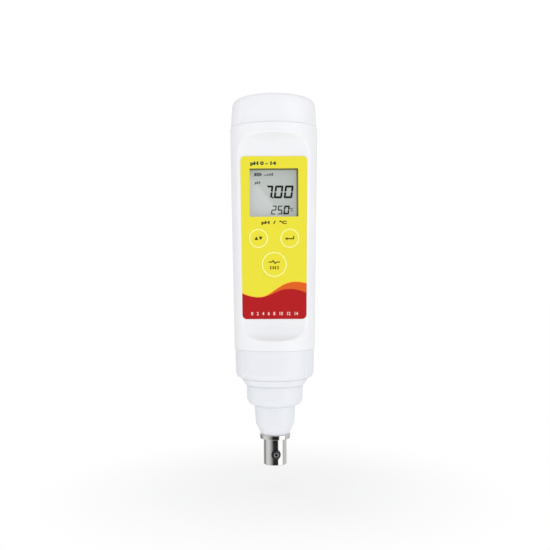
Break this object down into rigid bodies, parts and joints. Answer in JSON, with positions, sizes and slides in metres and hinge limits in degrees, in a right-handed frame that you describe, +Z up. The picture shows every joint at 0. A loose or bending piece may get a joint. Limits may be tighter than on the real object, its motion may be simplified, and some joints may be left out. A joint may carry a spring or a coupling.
{
  "type": "pocket ph tester",
  "caption": "Pocket pH tester: tapered round barrel with a flat keypad face, display and keys, screw-on battery cap, and a union collar holding an adapter with a bayonet coaxial probe jack.",
  "frame": {"origin": "on the long axis, at the front face of the probe jack, the lowest point of the part", "axes": "+Z up the long axis to the battery cap; -Y is the way the keypad face looks; +X is to the right seen from the front"},
  "size_m": [0.0366, 0.0368, 0.1552],
  "materials": {
    "white_plastic": "satin moulded ABS",
    "inner_plastic": "natural moulded",
    "film": "screen-printed polyester, satin",
    "window": "clear acrylic",
    "lcd": "grey-green reflective display",
    "black_plastic": "moulded, matt",
    "seal_rubber": "nitrile, matt",
    "silicone": "silicone, matt",
    "board": "solder-masked glass-epoxy",
    "steel": "bright rolled",
    "nickel": "bright nickel plate",
    "gold": "gold flash over brass",
    "ptfe": "waxy white",
    "red_wire": "PVC insulation",
    "black_wire": "PVC insulation"
  },
  "bodies": {
    "barrel": {"barrel_shell": "white_plastic", "face_film": "film", "display_window": "window", "lcd_glass": "lcd", "lcd_holder": "black_plastic", "zebra_strip": "silicone", "keypad_seal": "silicone", "main_board": "board", "controller_chip": "black_plastic", "amplifier_chip": "black_plastic", "input_shield_can": "steel", "board_carrier": "inner_plastic", "battery_neck": "white_plastic", "cap_o_ring": "seal_rubber", "battery_spring": "nickel", "negative_strip": "nickel", "probe_socket": "black_plastic", "socket_contact_1": "gold", "socket_contact_2": "gold", "socket_wire_1": "red_wire", "socket_wire_2": "black_wire", "button_cell_1": "steel", "board_screw_1": "steel", "button_cell_2": "steel", "board_screw_2": "steel", "button_cell_3": "steel", "board_screw_3": "steel", "button_cell_4": "steel", "board_screw_4": "steel", "cal_switch": "steel", "enter_switch": "steel", "meas_switch": "steel"},
    "cap_carrier": {"contact_disc": "inner_plastic", "contact_plate": "nickel"},
    "battery_cap": {"battery_cap": "white_plastic"},
    "probe_adapter": {"adapter_housing": "white_plastic", "adapter_o_ring": "seal_rubber", "pin_plate": "black_plastic", "adapter_pin_1": "gold", "adapter_pin_2": "gold", "bnc_shell": "nickel", "bayonet_lug_front": "nickel", "bayonet_lug_rear": "nickel", "bnc_insulator": "ptfe", "centre_contact": "gold", "flange_gasket": "silicone", "lock_washer": "steel", "jack_nut": "steel", "signal_wire": "red_wire", "ground_wire": "black_wire"},
    "union_collar": {"union_collar": "white_plastic"},
    "cal_key": {"cal_key_pad": "film", "cal_key_plunger": "inner_plastic", "cal_switch_stem": "black_plastic"},
    "enter_key": {"enter_key_pad": "film", "enter_key_plunger": "inner_plastic", "enter_switch_stem": "black_plastic"},
    "meas_key": {"meas_key_pad": "film", "meas_key_plunger": "inner_plastic", "meas_switch_stem": "black_plastic"}
  },
  "joints": [
    {"name": "cap_lift", "type": "slide", "parent": "barrel", "child": "cap_carrier", "axis": [0, 0, 1], "range_m": [0, 0.009]},
    {"name": "cap_turn", "type": "hinge", "parent": "cap_carrier", "child": "battery_cap", "pos_m": [0, 0, 0.1475], "axis": [0, 0, 1], "range_deg": [0, 1080]},
    {"name": "adapter_drop", "type": "slide", "parent": "barrel", "child": "probe_adapter", "axis": [0, 0, -1], "range_m": [0, 0.009]},
    {"name": "collar_turn", "type": "hinge", "parent": "probe_adapter", "child": "union_collar", "pos_m": [0, 0, 0.045], "axis": [0, 0, -1], "range_deg": [0, 1080]},
    {"name": "cal_press", "type": "slide", "parent": "barrel", "child": "cal_key", "axis": [0, 1, 0], "range_m": [0, 0.0004]},
    {"name": "enter_press", "type": "slide", "parent": "barrel", "child": "enter_key", "axis": [0, 1, 0], "range_m": [0, 0.0004]},
    {"name": "meas_press", "type": "slide", "parent": "barrel", "child": "meas_key", "axis": [0, 1, 0], "range_m": [0, 0.0004]}
  ],
  "couplings": [
    {"joint": "cap_lift", "follows": "cap_turn", "m_per_rad": 0.00047746},
    {"joint": "adapter_drop", "follows": "collar_turn", "m_per_rad": 0.00047746}
  ]
}
